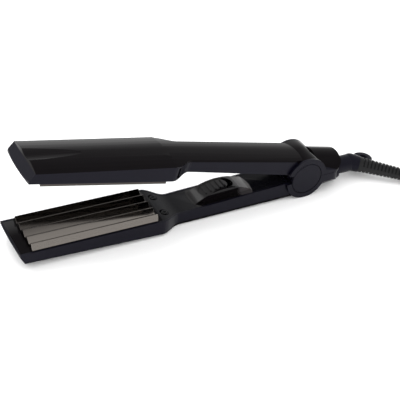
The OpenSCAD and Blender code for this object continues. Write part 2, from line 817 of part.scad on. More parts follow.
// Ribbed slider, flush with the hump, with a foot under it and a stem down to the switch
module switch_slider() {
    color(GLOSS) lower_arm() at_switch() {
        intersection() {
            stadium(slider_len, slider_w, slider_x, slider_foot - 0.4, 20);
            union() {
                arch(slider_sunk, 30);
                for (k = [-2 : 2]) let (x = slider_x + k * rib_step)
                    translate([x - 0.6, -slider_w / 2 + 1, 0])
                        cube([1.2, slider_w - 2, hump_h + 0.5 - pow(x, 2) / (2 * hump_r)]);
            }
        }
        translate([slider_x - 9, 0.3 + hump_wall - hump_half, 0.5])
            cube([18, 2 * (hump_half - hump_wall - 0.3), slider_foot - 0.5]);
        translate([slider_x - stem[0] / 2, -stem[1] / 2, -5.8]) cube([stem[0], stem[1], 6.5]);
        translate([slider_x - 0.9, -1, -7.2]) cube([1.8, 2, 1.6]);
    }
}

// Lies under the strip that holds the heater
fuse_depth = plate_back + heater_t + mica_t + clamp_t + 1.55;
module thermal_fuse() {
    color("#d8d4c8") lower_arm() translate([-heater_x, 0, -fuse_depth])
        rotate([0, 90, 0]) difference() {
            cylinder(r = 1.5, h = 12, center = true);
            translate([0, 0, 5.4]) cylinder(r = 0.4, h = 4);
        }
}

// ---- swivel ----

bush_r = 6.6;
flange_front = 27.4;
flange_t = 2.8;
flange_x = [flange_front, flange_front + flange_t];
bush_x = [flange_x[1] + 0.2, tail_x - wall - 0.2];
stub_r = 3;
stub_front = 16.6;

module on_swivel(x) { translate([x, 0, swivel_z]) rotate([0, 90, 0]) children(); }

module swivel_bush() {
    color("#5b5f66") difference() {
        on_swivel(bush_x[0]) cylinder(r = bush_r, h = bush_x[1] - bush_x[0]);
        on_swivel(0) cylinder(r = journal_r + running_gap, h = wide);
    }
}

module contact_rings() {
    color(BRASS) for (x = ring_xs) on_swivel(x) difference() {
        cylinder(r = stub_r + 1.2, h = ring_w);
        translate([0, 0, -1]) cylinder(r = stub_r, h = 10);
    }
}
ring_w = 2.4;
ring_first = 18.4;
ring_step = 4.6;
ring_xs = [ring_first, ring_first + ring_step];
brush_foot = board_top;

module contact_brushes() {
    color(BRASS) for (x = ring_xs) translate([x + 0.5, -1.5, barrel_r + brush_foot])
        cube([ring_w - 1, 3, -swivel_drop - stub_r - 1.2 - 0.3 - brush_foot]);
}

module terminal_block() {
    color("#e8e4da") lower_arm() intersection() {
        translate([17.4, -6, -30]) cube([9, 12, 30 + brush_foot]);
        tail_round(cover_t + slip / 2);
    }
}

lead_dir = [cos(lead_dip) * cos(lead_yaw), -cos(lead_dip) * sin(lead_yaw), -sin(lead_dip)];
elbow_lift = 0.4;                   // of the bend over the swivel's axis
elbow = [elbow_x, 0, swivel_z + elbow_lift];
module along_lead(from) {
    translate(elbow + from * lead_dir) rotate([0, 90 + lead_dip, -lead_yaw]) children();
}

loop_x = 18.3;
loop_y = 4.6;
loop_drop = 5;
loop_r = 9;
relief_start = neck_r + 0.6;
// Journal, collar, bent neck and hang loop: one moulding
module swivel_elbow() {
    color(SATIN) difference() {
        union() {
            on_swivel(stub_front) cylinder(r = stub_r, h = flange_front - stub_front + eps);
            on_swivel(flange_front) cylinder(r = bush_r - slip, h = flange_t);
            on_swivel(flange_x[1] - eps) cylinder(r = journal_r, h = tail_x + 1 - flange_x[1]);
            on_swivel(tail_x + 0.3) cylinder(r = collar_r, h = 4);
            on_swivel(tail_x + 4.2) cylinder(r = neck_r, h = elbow_x - tail_x - 4.2);
            translate(elbow) sphere(r = neck_r);
            along_lead(0) cylinder(r1 = neck_r, r2 = relief_r + 0.4, h = relief_start);
            difference() {
                union() {
                    translate(elbow + [loop_x, loop_y, -loop_drop - loop_t / 2])
                        cylinder(r = loop_r, h = loop_t);
                    translate(elbow + [0, -2, -loop_drop - loop_t / 2])
                        cube([loop_x - 6, loop_y + 9, loop_t]);
                }
                along_lead(relief_start) cylinder(r = relief_r + 0.5, h = wide);
            }
        }
        translate(elbow + [loop_x, loop_y, -loop_drop - 10]) cylinder(r = loop_hole_r, h = 20);
    }
}

// Ribbed strain relief, turned about the lead's own line
rib_count = floor((relief_len - relief_start - 6) / rib_pitch);
notch_deep = 1.1;
module strain_relief() {
    function at(s) = blend(relief_r, relief_end_r, (s - relief_start) / (relief_len - relief_start));
    outline = concat(
        [[0, relief_start], [at(relief_start), relief_start]],
        [for (i = [0 : rib_count - 1], k = [0 : 3])
            let (s = relief_start + 2 + rib_pitch * (i + [0, 0.12, 0.48, 0.6][k]))
                [at(s) - (k == 1 || k == 2 ? notch_deep : 0), s]],
        [[at(relief_len), relief_len - 0.5], [at(relief_len) - 0.5, relief_len], [0, relief_len]]);
    color(SATIN) along_lead(0) rotate_extrude() polygon(outline);
}

// ---- mains lead ----

cord_z = cord_d / 2 + 1;
hank_mid = [212, -20];
LAYER = cord_d + 0.6;
LOOP_RINGS = 24;
// Phases at which the hank's spiral turns round, each in the middle of a run
TURNS = [1.125, 2.625, 4.125];
HANK_END = 5.25;
route_end = hank_at(0) - [cord_d, 0, 0];
lead_start = elbow + relief_len * lead_dir;
MAINS_ROUTE = [lead_start, lead_start + 2 * cord_d * lead_dir, [127, -47.5, 4.3], [136, -49.5, 4],
    [146, -49, 4], route_end - [cord_d, 0, 0], route_end];
tail_start = hank_at(HANK_END) + [cord_d, 0, 0];
TAIL_ROUTE = [tail_start, tail_start + [cord_d / 2, 0, 0], [279, -45.5, 22.4], [286, -43, 18],
    [295, -39, 13.2], [304, -34.5, 9.2], [312, -31.5, 7.4], [320, -30, 7], [326, -30, 7]];
plug_at = TAIL_ROUTE[len(TAIL_ROUTE) - 1];

// Loops between a phase and the innermost turn of its half of the hank
function loop_out(t) = t < TURNS[0] ? TURNS[0] - t : t < TURNS[1] ? t - TURNS[0] :
    t < TURNS[2] ? TURNS[2] - t : t - TURNS[2];
// How far the lead has climbed at a phase: one layer along the run of each turn
function climbed(t, i = 0) = i == len(TURNS) ? 0 :
    s_curve((t - TURNS[i]) / 0.25 + 0.5) + climbed(t, i + 1);
function hank_at(t) =
    let (w = hank_fold_r + hank_step * loop_out(t), f = t - floor(t), half = hank_run / 2,
        run = f < 0.25 ? f / 0.25 : f < 0.5 ? -1 : f < 0.75 ? (f - 0.5) / 0.25 : -2,
        sweep = f < 0.5 ? (f - 0.25) / 0.25 : (f - 0.75) / 0.25,
        drawn = w - hank_pull * pow(sin(180 * run), 2),
        flat = run >= 0 ? (f < 0.5 ? [-half + hank_run * run, -drawn] : [half - hank_run * run, drawn]) :
            run == -1 ? [half + w * sin(180 * sweep), -w * cos(180 * sweep)] :
                [-half - w * sin(180 * sweep), w * cos(180 * sweep)])
    [hank_mid[0] + flat[0], hank_mid[1] + flat[1], cord_z + LAYER * climbed(t)];
hank_points = concat([hank_at(0) - [cord_d, 0, 0]],
    [for (i = [0 : LOOP_RINGS * HANK_END]) hank_at(i / LOOP_RINGS)], [tail_start]);

function path_length(p) =
    [for (i = [1 : len(p) - 1]) norm(p[i] - p[i - 1])] * [for (i = [1 : len(p) - 1]) 1];
// Least distance between two points of the hank that are more than half a loop apart, less the lead
hank_gap = min([for (i = [0 : len(hank_points) - 1], j = [0 : len(hank_points) - 1])
    if (j > i + LOOP_RINGS / 3) norm(hank_points[i] - hank_points[j])]) - cord_d;
echo(hank_gap = hank_gap, hank_length = path_length(hank_points),
    free_length = path_length(MAINS_ROUTE), tail_length = path_length(TAIL_ROUTE));

CORD = "#17171a";
module mains_cord() { color(CORD) tube(MAINS_ROUTE, cord_d / 2, 10); }
module cord_hank() { color(CORD) tube(hank_points, cord_d / 2, 6); }
module plug_tail() { color(CORD) tube(TAIL_ROUTE, cord_d / 2, 10); }

// Strap round the hank's waist
module hank_tie() {
    loops_out = [TURNS[0] - 0.125, (TURNS[1] - TURNS[0])];
    half = (hank_fold_r - hank_pull) * [1, 1] + hank_step * loops_out;
    low = cord_z - cord_d / 2 - tie_t - 0.05;
    // the runs spread a little towards the strap's edges
    room = cord_d / 2 + 0.9 + hank_pull * pow(sin(90 * tie_w / hank_run), 2);
    y0 = hank_mid[1] - half[0] - room;
    y1 = hank_mid[1] + half[1] + room;
    z1 = cord_z + 3 * LAYER + cord_d / 2 + 0.3;
    color("#2a2a2e") translate([hank_mid[0] - tie_w / 2, 0, 0]) difference() {
        translate([0, y0 - tie_t, low]) cube([tie_w, y1 - y0 + 2 * tie_t, z1 - low + tie_t]);
        translate([-1, y0, low + tie_t]) cube([tie_w + 2, y1 - y0, z1 - low - tie_t]);
    }
}

// Flat two-pin plug
module plug_body() {
    front = plug_w / 2;
    back = cord_d / 2 + 2;
    color(CORD) intersection() {
        translate(plug_at + [0, 0, -plug_t / 2]) linear_extrude(height = plug_t) polygon([
            [0, -back], [0, back], [plug_len * 0.35, back + 1.5], [plug_len * 0.62, front * 0.8],
            [plug_len * 0.75, front], [plug_len, front - 2], [plug_len, 2 - front],
            [plug_len * 0.75, -front], [plug_len * 0.62, -front * 0.8], [plug_len * 0.35, -back - 1.5]]);
        translate(plug_at + [0, wide, 0]) rotate([90, 0, 0]) linear_extrude(height = 2 * wide) polygon([
            [0, -back], [0, back], [plug_len * 0.5, plug_t / 2], [plug_len, plug_t / 2 - 0.8],
            [plug_len, 0.8 - plug_t / 2], [plug_len * 0.5, -plug_t / 2]]);
    }
}

module plug_pins() {
    color(METAL) for (s = [-1, 1])
        translate(plug_at + [plug_len, s * plug_pitch / 2, 0]) rotate([0, 90, 0]) union() {
            cylinder(r = plug_pin_r, h = plug_pin_len - 1);
            translate([0, 0, plug_pin_len - 1]) cylinder(r1 = plug_pin_r, r2 = plug_pin_r - 0.8, h = 1);
        }
}

// The origin is under the middle of the object, without its lead
centre_x = (tip_x + tip_bow - elbow_x - loop_x - loop_r) / 2;
module placed() { translate([centre_x, 0, 0]) children(); }

for (name = ARM_PIECES) {
    placed() lower_arm() arm_piece(name, false);
    placed() upper_arm() arm_piece(name, true);
}
placed() hinge_pin();
placed() torsion_spring();
placed() hinge_cap(1);  // hinge_cap_near
placed() hinge_cap(-1);  // hinge_cap_far
placed() circuit_board();
placed() slide_switch();
placed() switch_housing();
placed() switch_slider();
placed() thermal_fuse();
placed() swivel_bush();
placed() terminal_block();
placed() contact_brushes();
placed() contact_rings();
placed() swivel_elbow();
placed() strain_relief();
placed() supply_leads();
placed() mains_cord();
placed() cord_hank();
placed() hank_tie();
placed() plug_tail();
placed() plug_body();
placed() plug_pins();
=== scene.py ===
"""Looks of a hair crimper: pieces, finishes, floor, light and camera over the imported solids."""
import json
import math

import bmesh
import bpy
from mathutils import Matrix, Vector


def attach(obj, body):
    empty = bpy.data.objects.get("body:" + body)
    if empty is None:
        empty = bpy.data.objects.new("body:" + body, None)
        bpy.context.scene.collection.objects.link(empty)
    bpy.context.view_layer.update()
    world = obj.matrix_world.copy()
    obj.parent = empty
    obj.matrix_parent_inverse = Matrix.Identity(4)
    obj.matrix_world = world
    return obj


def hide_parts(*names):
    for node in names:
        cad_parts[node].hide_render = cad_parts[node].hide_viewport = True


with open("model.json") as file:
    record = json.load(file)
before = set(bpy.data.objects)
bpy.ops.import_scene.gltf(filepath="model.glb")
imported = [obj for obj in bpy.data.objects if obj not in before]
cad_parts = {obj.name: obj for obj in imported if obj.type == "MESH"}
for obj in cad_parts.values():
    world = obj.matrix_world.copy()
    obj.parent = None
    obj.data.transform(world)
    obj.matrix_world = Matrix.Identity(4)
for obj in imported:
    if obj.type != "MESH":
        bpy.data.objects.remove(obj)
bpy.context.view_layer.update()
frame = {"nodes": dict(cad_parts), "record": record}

NODES = frame["nodes"]
RECORD = frame["record"]
SLOT_OF = {entry["node"]: entry["material_slot"] for entry in RECORD["subparts"]}
BODY_OF = {node: body for body, nodes in RECORD["behaviour"]["bodies"].items() for node in nodes}
HINGE = next(joint["pos_m"] for joint in RECORD["behaviour"]["joints"] if joint["name"] == "arm_hinge")

MM = 0.001

bl_info = {
    "name": "Hair crimper",
    "version": (1, 0, 0),
    "blender": (4, 5, 0),
    "location": "View3D > Sidebar > Crimper",
    "description": "Builds the looks of a hair crimper over its solids",
    "category": "Object",
}


# ---------------------------------------------------------------- sizes and colours

def length(name, description, default):
    """A length property in metres, given in millimetres."""
    return bpy.props.FloatProperty(
        name=name, description=description, default=default * MM,
        min=0.0, max=1.0, unit="LENGTH", subtype="DISTANCE")


def colour(name, description, default):
    """A linear colour property."""
    return bpy.props.FloatVectorProperty(
        name=name, description=description, default=default,
        size=3, min=0.0, max=1.0, subtype="COLOR")


class CrimperSizes(bpy.types.PropertyGroup):
    centre: length("Hinge place", "From the frame's origin to the hinge axis, along X", HINGE[0] / MM)
    cord: length("Lead diameter", "Diameter of the mains lead", 6.0)
    hank_run: length("Hank run", "Straight run of the tied hank", 104.0)
    hank_fold: length("Hank fold", "Radius of the innermost fold, to the lead's middle", 18.0)


class CrimperColours(bpy.types.PropertyGroup):
    gloss: colour("Gloss black", "Covers, plate carriers and switch", (0.0022, 0.0017, 0.0021))
    satin: colour("Satin black", "Shells, hinge caps and swivel", (0.0026, 0.0024, 0.0052))
    panel: colour("Panel black", "Inner panels of the handles", (0.003, 0.003, 0.0042))
    plate: colour("Plate coating", "Coating of the ridged plates", (0.2, 0.182, 0.166))
    rubber: colour("Lead rubber", "Strain relief, lead, tie and plug", (0.004, 0.004, 0.0045))
    floor: colour("Floor", "Table under the crimper", (0.9, 0.9, 0.9))


def sizes():
    return bpy.context.scene.crimper_sizes


def colours():
    return bpy.context.scene.crimper_colours


# ---------------------------------------------------------------- shader expressions

class Field:
    """A socket's value over a surface, with arithmetic that adds Math nodes."""

    def __init__(self, nodes, socket):
        self.nodes = nodes
        self.socket = socket

    def math(self, operation, *values):
        node = self.nodes.node("ShaderNodeMath", {"operation": operation}, dict(enumerate(values)))
        return Field(self.nodes, node.outputs[0])

    def __add__(self, other):
        return self.math("ADD", self, other)

    def __mul__(self, other):
        return self.math("MULTIPLY", self, other)

    def __sub__(self, other):
        return self.math("SUBTRACT", self, other)

    def __rsub__(self, other):
        return self.math("SUBTRACT", other, self)

    __radd__ = __add__
    __rmul__ = __mul__

    def step(self, low, high):
        """0 below low, 1 above high and smooth between."""
        node = self.nodes.node(
            "ShaderNodeMapRange", {"interpolation_type": "SMOOTHSTEP"},
            {"Value": self, "From Min": low, "From Max": high})
        return Field(self.nodes, node.outputs[0])


class Nodes:
    """A node tree, and the one method that all its new nodes come from."""

    def __init__(self, tree):
        self.tree = tree

    def node(self, kind, settings=None, sockets=None):
        """Adds a node: its settings first, then the values or links of its sockets."""
        node = self.tree.nodes.new(kind)
        for name, value in (settings or {}).items():
            setattr(node, name, value)
        for name, value in (sockets or {}).items():
            if isinstance(value, Field):
                value = value.socket
            if isinstance(value, bpy.types.NodeSocket):
                self.tree.links.new(value, node.inputs[name])
            else:
                node.inputs[name].default_value = value
        return node


class Finish(Nodes):
    """One material: a Principled shader, and the fields that vary over its surface."""

    def __init__(self, name, base, roughness, **uniform):
        self.material = bpy.data.materials.new(name)
        self.material.use_nodes = True
        super().__init__(self.material.node_tree)
        self.shader = self.tree.nodes["Principled BSDF"]
        self.shader.inputs["Base Color"].default_value = (*base, 1.0)
        self.shader.inputs["Roughness"].default_value = roughness
        for socket, value in uniform.items():
            self.shader.inputs[socket.replace("_", " ")].default_value = value
        self.place = self.node("ShaderNodeTexCoord").outputs["Object"]

    def along(self, axis):
        """A coordinate in metres: X runs to the hinge, Y across to the far side, Z up."""
        node = self.node("ShaderNodeSeparateXYZ", {}, {"Vector": self.place})
        return Field(self, node.outputs[axis])

    def noise(self, size, detail=3.0, stretch=(1.0, 1.0, 1.0)):
        """Noise whose features are about as large as size, in metres."""
        mapping = self.node("ShaderNodeMapping", {}, {"Vector": self.place, "Scale": stretch})
        node = self.node("ShaderNodeTexNoise", {}, {
            "Vector": mapping.outputs["Vector"], "Scale": 1.0 / size, "Detail": detail})
        return Field(self, node.outputs[0])

    def vary(self, socket, field, low, high):
        """Feeds a number socket with a field mapped to low and high."""
        value = low + (high - low) * field
        self.tree.links.new(value.socket, self.shader.inputs[socket])

    def tint(self, field, first, second):
        """Base colour from first to second as the field goes from 0 to 1."""
        mix = self.node("ShaderNodeMix", {"data_type": "RGBA"}, {
            0: field, 6: (*first, 1.0), 7: (*second, 1.0)})
        self.tree.links.new(mix.outputs[2], self.shader.inputs["Base Color"])

    def bump(self, field, depth, strength=1.0):
        """Relief of a field, whose depth from 0 to 1 is in metres."""
        node = self.node("ShaderNodeBump", {}, {"Height": field, "Distance": depth, "Strength": strength})
        self.tree.links.new(node.outputs["Normal"], self.shader.inputs["Normal"])


def shade(tone, factor):
    return tuple(channel * factor for channel in tone)


# ---------------------------------------------------------------- finishes

# Where a finish, its painted highlights or its painted shade change, from and to, in metres along an axis
# of the frame
# Painted highlight on the covers: their coat reflects more towards the far side, along Y
PAINTED_HIGHLIGHT_FAR_SIDE_Y = (0.0, 0.019)
# Where the switch turns rough and takes its painted highlight, along X
ROUGH_AND_LIT_SLOPE_X = (0.024, 0.03)
# Painted shade on the plates: towards the far side along Y, and on the upper plate along Z
PAINTED_SHADE_FAR_SIDE_Y = (-0.02, 0.012)
PAINTED_SHADE_UPPER_PLATE_Z = (0.03, 0.045)

# Painted highlight: the lighter tone of the switch's slope towards the hinge
PAINTED_HIGHLIGHT_SLOPE_TONE = (0.035, 0.031, 0.033)
SATIN_SHEEN = (0.88, 0.86, 1.0, 1.0)


def gloss_black():
    """Polished black plastic whose coat reflects more towards the far side as a painted highlight, with a
    trace of haze.
    """
    tone = colours().gloss
    finish = Finish("gloss_black", tone, 0.08, IOR=1.08, Coat_Roughness=0.06)
    # Painted highlight: the coat grows stronger towards the far side, so the far side reflects more light
    finish.vary("Coat Weight", finish.along("Y").step(*PAINTED_HIGHLIGHT_FAR_SIDE_Y), 0.02, 0.55)
    haze = finish.noise(0.03, 4.0)
    finish.vary("Roughness", haze.step(0.35, 0.8), 0.07, 0.13)
    finish.tint(finish.noise(0.012, 5.0), tone, shade(tone, 1.35))
    finish.bump(finish.noise(0.006, 2.0), 0.00004, 0.25)
    return finish.material


def polished_black():
    """Black plastic of the switch, polished but for a rougher slope towards the hinge, whose lighter tone
    is a painted highlight.
    """
    tone = colours().gloss
    finish = Finish("polished_black", tone, 0.08, IOR=1.3)
    matt_and_lit_slope = finish.along("X").step(*ROUGH_AND_LIT_SLOPE_X)
    finish.vary("Roughness", matt_and_lit_slope + finish.noise(0.01, 4.0) * 0.1, 0.08, 0.6)
    finish.vary("Coat Weight", matt_and_lit_slope, 0.0, 0.6)
    # Painted highlight: the slope towards the hinge is tinted lighter than the rest of the switch
    finish.tint(matt_and_lit_slope, tone, PAINTED_HIGHLIGHT_SLOPE_TONE)
    finish.bump(finish.noise(0.004, 2.0), 0.00002, 0.2)
    return finish.material


def satin_black():
    """Moulded black plastic, finely grained and rubbed smoother in places."""
    tone = colours().satin
    finish = Finish("satin_black", tone, 0.3, Specular_IOR_Level=0.11, Specular_Tint=SATIN_SHEEN)
    finish.vary("Roughness", finish.noise(0.02, 3.0), 0.26, 0.36)
    finish.tint(finish.noise(0.01, 4.0), shade(tone, 0.85), shade(tone, 1.25))
    finish.bump(finish.noise(0.0004, 2.0), 0.00004, 0.5)
    return finish.material


def panel_black():
    """Fine-grained black plastic of the inner panels."""
    tone = colours().panel
    finish = Finish("panel_black", tone, 0.2, Specular_IOR_Level=0.07)
    finish.vary("Roughness", finish.noise(0.015, 3.0), 0.16, 0.24)
    finish.tint(finish.noise(0.008, 4.0), shade(tone, 0.85), shade(tone, 1.3))
    finish.bump(finish.noise(0.00035, 2.0), 0.00006, 0.6)
    return finish.material


def plate_coating():
    """Warm grey coating of the ridged plates, with painted shade: darker on the far side and on the upper
    plate.
    """
    tone = colours().plate
    finish = Finish("plate_coating", tone, 0.13, Metallic=1.0)
    finish.vary("Roughness", finish.noise(0.012, 4.0), 0.11, 0.16)
    mottling = finish.noise(0.0009, 2.0) * 0.08 - 0.04
    # Painted shade: the plates are darkened towards the far side and on the upper plate
    painted_shade = finish.along("Y").step(*PAINTED_SHADE_FAR_SIDE_Y) + finish.along("Z").step(*PAINTED_SHADE_UPPER_PLATE_Z)
    finish.tint(painted_shade.step(0.0, 1.0) + mottling, tone, shade(tone, 0.3))
    finish.bump(finish.noise(0.0008, 2.0), 0.00001, 0.15)
    return finish.material


def soft_black():
    """Moulded rubber of the lead, its relief and its plug."""
    tone = colours().rubber
    finish = Finish("soft_black", tone, 0.42, Specular_IOR_Level=0.22)
    finish.vary("Roughness", finish.noise(0.01, 3.0), 0.36, 0.5)
    finish.tint(finish.noise(0.005, 4.0), shade(tone, 0.8), shade(tone, 1.3))
    finish.bump(finish.noise(0.0006, 3.0), 0.00005, 0.5)
    return finish.material


def metal(name, tone, roughness, streak=(1.0, 1.0, 1.0)):
    """Metal with fine marks, drawn out along X where streak is larger for Y and Z."""
    finish = Finish(name, tone, roughness, Metallic=1.0)
    lines = finish.noise(0.0012, 4.0, streak)
    finish.vary("Roughness", lines, roughness * 0.7, roughness * 1.3)
    finish.tint(finish.noise(0.004, 3.0), shade(tone, 0.9), tone)
    finish.bump(lines, 0.00002, 0.4)
    return finish.material


def plain(name, tone, roughness, grain=0.001):
    """Dull inner material with a little mottling, its grain in metres."""
    finish = Finish(name, tone, roughness)
    finish.vary("Roughness", finish.noise(grain * 6, 3.0), roughness * 0.85, min(1.0, roughness * 1.15))
    finish.tint(finish.noise(grain * 4, 4.0), shade(tone, 0.8), tone)
    finish.bump(finish.noise(grain, 2.0), 0.00004, 0.5)
    return finish.material


# By record slot: finishes of the outside, then metals with their tone, roughness and streak,
# and dull materials with their tone, roughness and grain
OUTER_FINISHES = {
    "black_gloss": gloss_black,
    "black_polished": polished_black,
    "black_satin": satin_black,
    "black_panel": panel_black,
    "coated_plate": plate_coating,
    "black_soft": soft_black,
}
METALS = {
    "heater_case": ((0.75, 0.75, 0.77), 0.35, (1.0, 8.0, 8.0)),
    "steel": ((0.6, 0.6, 0.62), 0.25),
    "black_steel": ((0.02, 0.02, 0.021), 0.3),
    "brass": ((0.78, 0.55, 0.22), 0.25),
    "chrome": ((0.8, 0.8, 0.8), 0.12),
}
DULL_MATERIALS = {
    "mica": ((0.5, 0.42, 0.28), 0.5),
    "wire_dark": ((0.012, 0.012, 0.013), 0.6, 0.0004),
    "board_green": ((0.03, 0.16, 0.07), 0.35),
    "fuse_white": ((0.75, 0.73, 0.68), 0.5),
    "grey_plastic": ((0.12, 0.125, 0.13), 0.4),
}
FINISHES = {}


def finish_of(slot):
    """The material of a record slot, made once."""
    if slot not in FINISHES:
        if slot in OUTER_FINISHES:
            FINISHES[slot] = OUTER_FINISHES[slot]()
        elif slot in METALS:
            FINISHES[slot] = metal(slot, *METALS[slot])
        else:
            FINISHES[slot] = plain(slot, *DULL_MATERIALS[slot])
    return FINISHES[slot]


def dress(piece, slot):
    """Gives a new piece the finish of a record slot."""
    piece.data.materials.clear()
    piece.data.materials.append(finish_of(slot))


def as_piece(bm, name, sharp):
    """Makes a bmesh an object, smooth but for its edges past the angle sharp, in degrees."""
    for face in bm.faces:
        face.smooth = True
    mesh = bpy.data.meshes.new(name)
    bm.to_mesh(mesh)
    bm.free()
    mesh.set_sharp_from_angle(angle=math.radians(sharp))
    piece = bpy.data.objects.new(name, mesh)
    bpy.context.scene.collection.objects.link(piece)
    return piece


# ---------------------------------------------------------------- the lead

# Millimetres from under the hinge axis
ELBOW_BEND = Vector((58, 0, 12.8))
LEAD_YAW = math.radians(35)
LEAD_DIP = math.radians(6)
FREE_STRETCH = [(127, -47.5, 4.3), (136, -49.5, 4), (146, -49, 4)]
PLUG_STRETCH = [(279, -45.5, 22.4), (286, -43, 18), (295, -39, 13.2), (304, -34.5, 9.2),
                (312, -31.5, 7.4), (320, -30, 7), (326, -30, 7)]
HANK_MIDDLE = (212, -20)
HANK_STEP = 7.2     # sideways, from loop to loop
HANK_PULL = 12.0    # how far the tie draws the runs in
LAYER_GAP = 0.6     # between a layer of the hank and the next
FLOOR_GAP = 1       # between the lowest layer and the table

# Phases of the hank, in loops: where its spiral turns round, in the middle of a run, and its end
HANK_TURNS = (1.125, 2.625, 4.125)
HANK_END = 5.25
HANK_QUARTER = 0.25    # a run or a fold, as a share of a loop
HANK_RINGS = 24        # points of a loop


def from_hinge(x, y, z):
    """A point in metres, from millimetres measured from under the hinge axis."""
    return Vector((x * MM + sizes().centre, y * MM, z * MM))


def lead_way():
    """Direction in which the lead leaves the elbow."""
    level = math.cos(LEAD_DIP)
    return Vector((level * math.cos(LEAD_YAW), -level * math.sin(LEAD_YAW), -math.sin(LEAD_DIP)))


def s_curve(t):
    """0 before 0, 1 after 1 and an S between."""
    return (1.0 - math.cos(math.pi * max(0.0, min(1.0, t)))) / 2.0


def hank_width(phase):
    """Half the hank's width, which grows away from the innermost turn of its half."""
    first, middle, last = HANK_TURNS
    loops_out = abs(phase - (first if phase < middle else last))
    return sizes().hank_fold / MM + HANK_STEP * loops_out


def hank_climb(phase):
    """Layers that the lead has climbed: one along the run of each turn."""
    return sum(s_curve((phase - turn) / HANK_QUARTER + 0.5) for turn in HANK_TURNS)


def hank_point(phase):
    """A point of the hank, in millimetres from under the hinge."""
    cord = sizes().cord / MM
    half = sizes().hank_run / MM / 2
    width = hank_width(phase)
    loop = phase - math.floor(phase)
    share = (loop % 0.5) / HANK_QUARTER
    if share < 1.0:
        side = -1 if loop < 0.5 else 1
        x = side * half * (1 - 2 * share)
        y = side * (width - HANK_PULL * math.sin(math.pi * share) ** 2)
    else:
        side = 1 if loop < 0.5 else -1
        fold = math.pi * (share - 1.0)
        x = side * (half + width * math.sin(fold))
        y = -side * width * math.cos(fold)
    height = cord / 2 + FLOOR_GAP + (cord + LAYER_GAP) * hank_climb(phase)
    return HANK_MIDDLE[0] + x, HANK_MIDDLE[1] + y, height


def lead_route():
    """The whole lead, from the strain relief to the plug."""
    way = lead_way()
    start = ELBOW_BEND + RELIEF_END * way
    cord = sizes().cord / MM
    first = Vector(hank_point(0))
    last = Vector(hank_point(HANK_END))
    leaving = [start, start + 2 * cord * way]
    entering = [first - Vector((2 * cord, 0, 0)), first - Vector((cord, 0, 0))]
    loops = [hank_point(i / HANK_RINGS) for i in range(int(HANK_RINGS * HANK_END) + 1)]
    coming_out = [last + Vector((cord, 0, 0)), last + Vector((1.5 * cord, 0, 0))]
    route = leaving + FREE_STRETCH + entering + loops + coming_out + PLUG_STRETCH
    return [from_hinge(*point) for point in route]


class CRIMPER_OT_lead(bpy.types.Operator):
    """Lays the mains lead: free stretch, tied hank and the end at the plug"""
    bl_idname = "crimper.lead"
    bl_label = "Lead"

    def execute(self, context):
        points = lead_route()
        curve = bpy.data.curves.new("mains_lead", "CURVE")
        curve.dimensions = "3D"
        curve.bevel_depth = sizes().cord / 2
        curve.bevel_resolution = 4
        curve.resolution_u = 3
        spline = curve.splines.new("BEZIER")
        spline.bezier_points.add(len(points) - 1)
        for knot, point in zip(spline.bezier_points, points):
            knot.co = point
            knot.handle_left_type = knot.handle_right_type = "AUTO"
        lead = bpy.data.objects.new("mains_lead", curve)
        context.scene.collection.objects.link(lead)
        dress(lead, "black_soft")
        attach(lead, "cord_swivel")
        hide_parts("mains_cord", "cord_hank", "plug_tail")
        return {"FINISHED"}


# ---------------------------------------------------------------- strain relief

# Millimetres along the lead from the elbow's bend
RELIEF_START = 8.6
RELIEF_END = 62.0
RELIEF_RADII = (6.9, 5.0)
COLLAR_LENGTH = 2.0     # before the start, inside the elbow, and again after it
COLLAR_THINNER = 0.3    # inside the elbow
FIRST_RIB = 2.6         # after the start
RIBLESS_LENGTH = 6.0    # at both ends together
RIB_PITCH = 3.3
SLOT_DEPTH = 1.4

# One rib and its slot: share of the pitch, share of the slot's depth
RIB_PROFILE = ((0.0, 0.0), (0.3, 0.0), (0.36, 1.0), (0.5, 1.0), (0.64, 1.0), (0.7, 0.0))
# The rounded end: distance before the end, and how much thinner
RELIEF_NOSE = ((1.0, 0.0), (0.3, 0.6), (0.0, 2.4))

# Degrees from the upper and the lower side: half a slot, and the ramp at its end
SLOT_HALF_ANGLE = 70.0
SLOT_RAMP = 5.0

RELIEF_AROUND = 72
RELIEF_SHARP = 35
SEAM_GAP = 1e-6


def relief_stations():
    """Distances along the relief, each with its share of a slot's depth and how much thinner it is."""
    stations = [(RELIEF_START - COLLAR_LENGTH, 0.0, COLLAR_THINNER),
                (RELIEF_START, 0.0, 0.0),
                (RELIEF_START + COLLAR_LENGTH, 0.0, 0.0)]
    ribs = int((RELIEF_END - RELIEF_START - RIBLESS_LENGTH) / RIB_PITCH)
    for rib in range(ribs):
        start = RELIEF_START + FIRST_RIB + rib * RIB_PITCH
        stations += [(start + share * RIB_PITCH, slot, 0.0) for share, slot in RIB_PROFILE]
    stations += [(RELIEF_END - before, 0.0, thinner) for before, thinner in RELIEF_NOSE]
    return stations


def relief_radius(distance, slot, thinner, angle):
    """Radius at a distance along the relief and an angle in degrees from its upper side."""
    first, last = RELIEF_RADII
    share = max(0.0, (distance - RELIEF_START) / (RELIEF_END - RELIEF_START))
    from_pole = min(angle % 180.0, 180.0 - angle % 180.0)
    cut = max(0.0, min(1.0, (SLOT_HALF_ANGLE - from_pole) / SLOT_RAMP))
    return first + (last - first) * share - thinner - SLOT_DEPTH * slot * cut


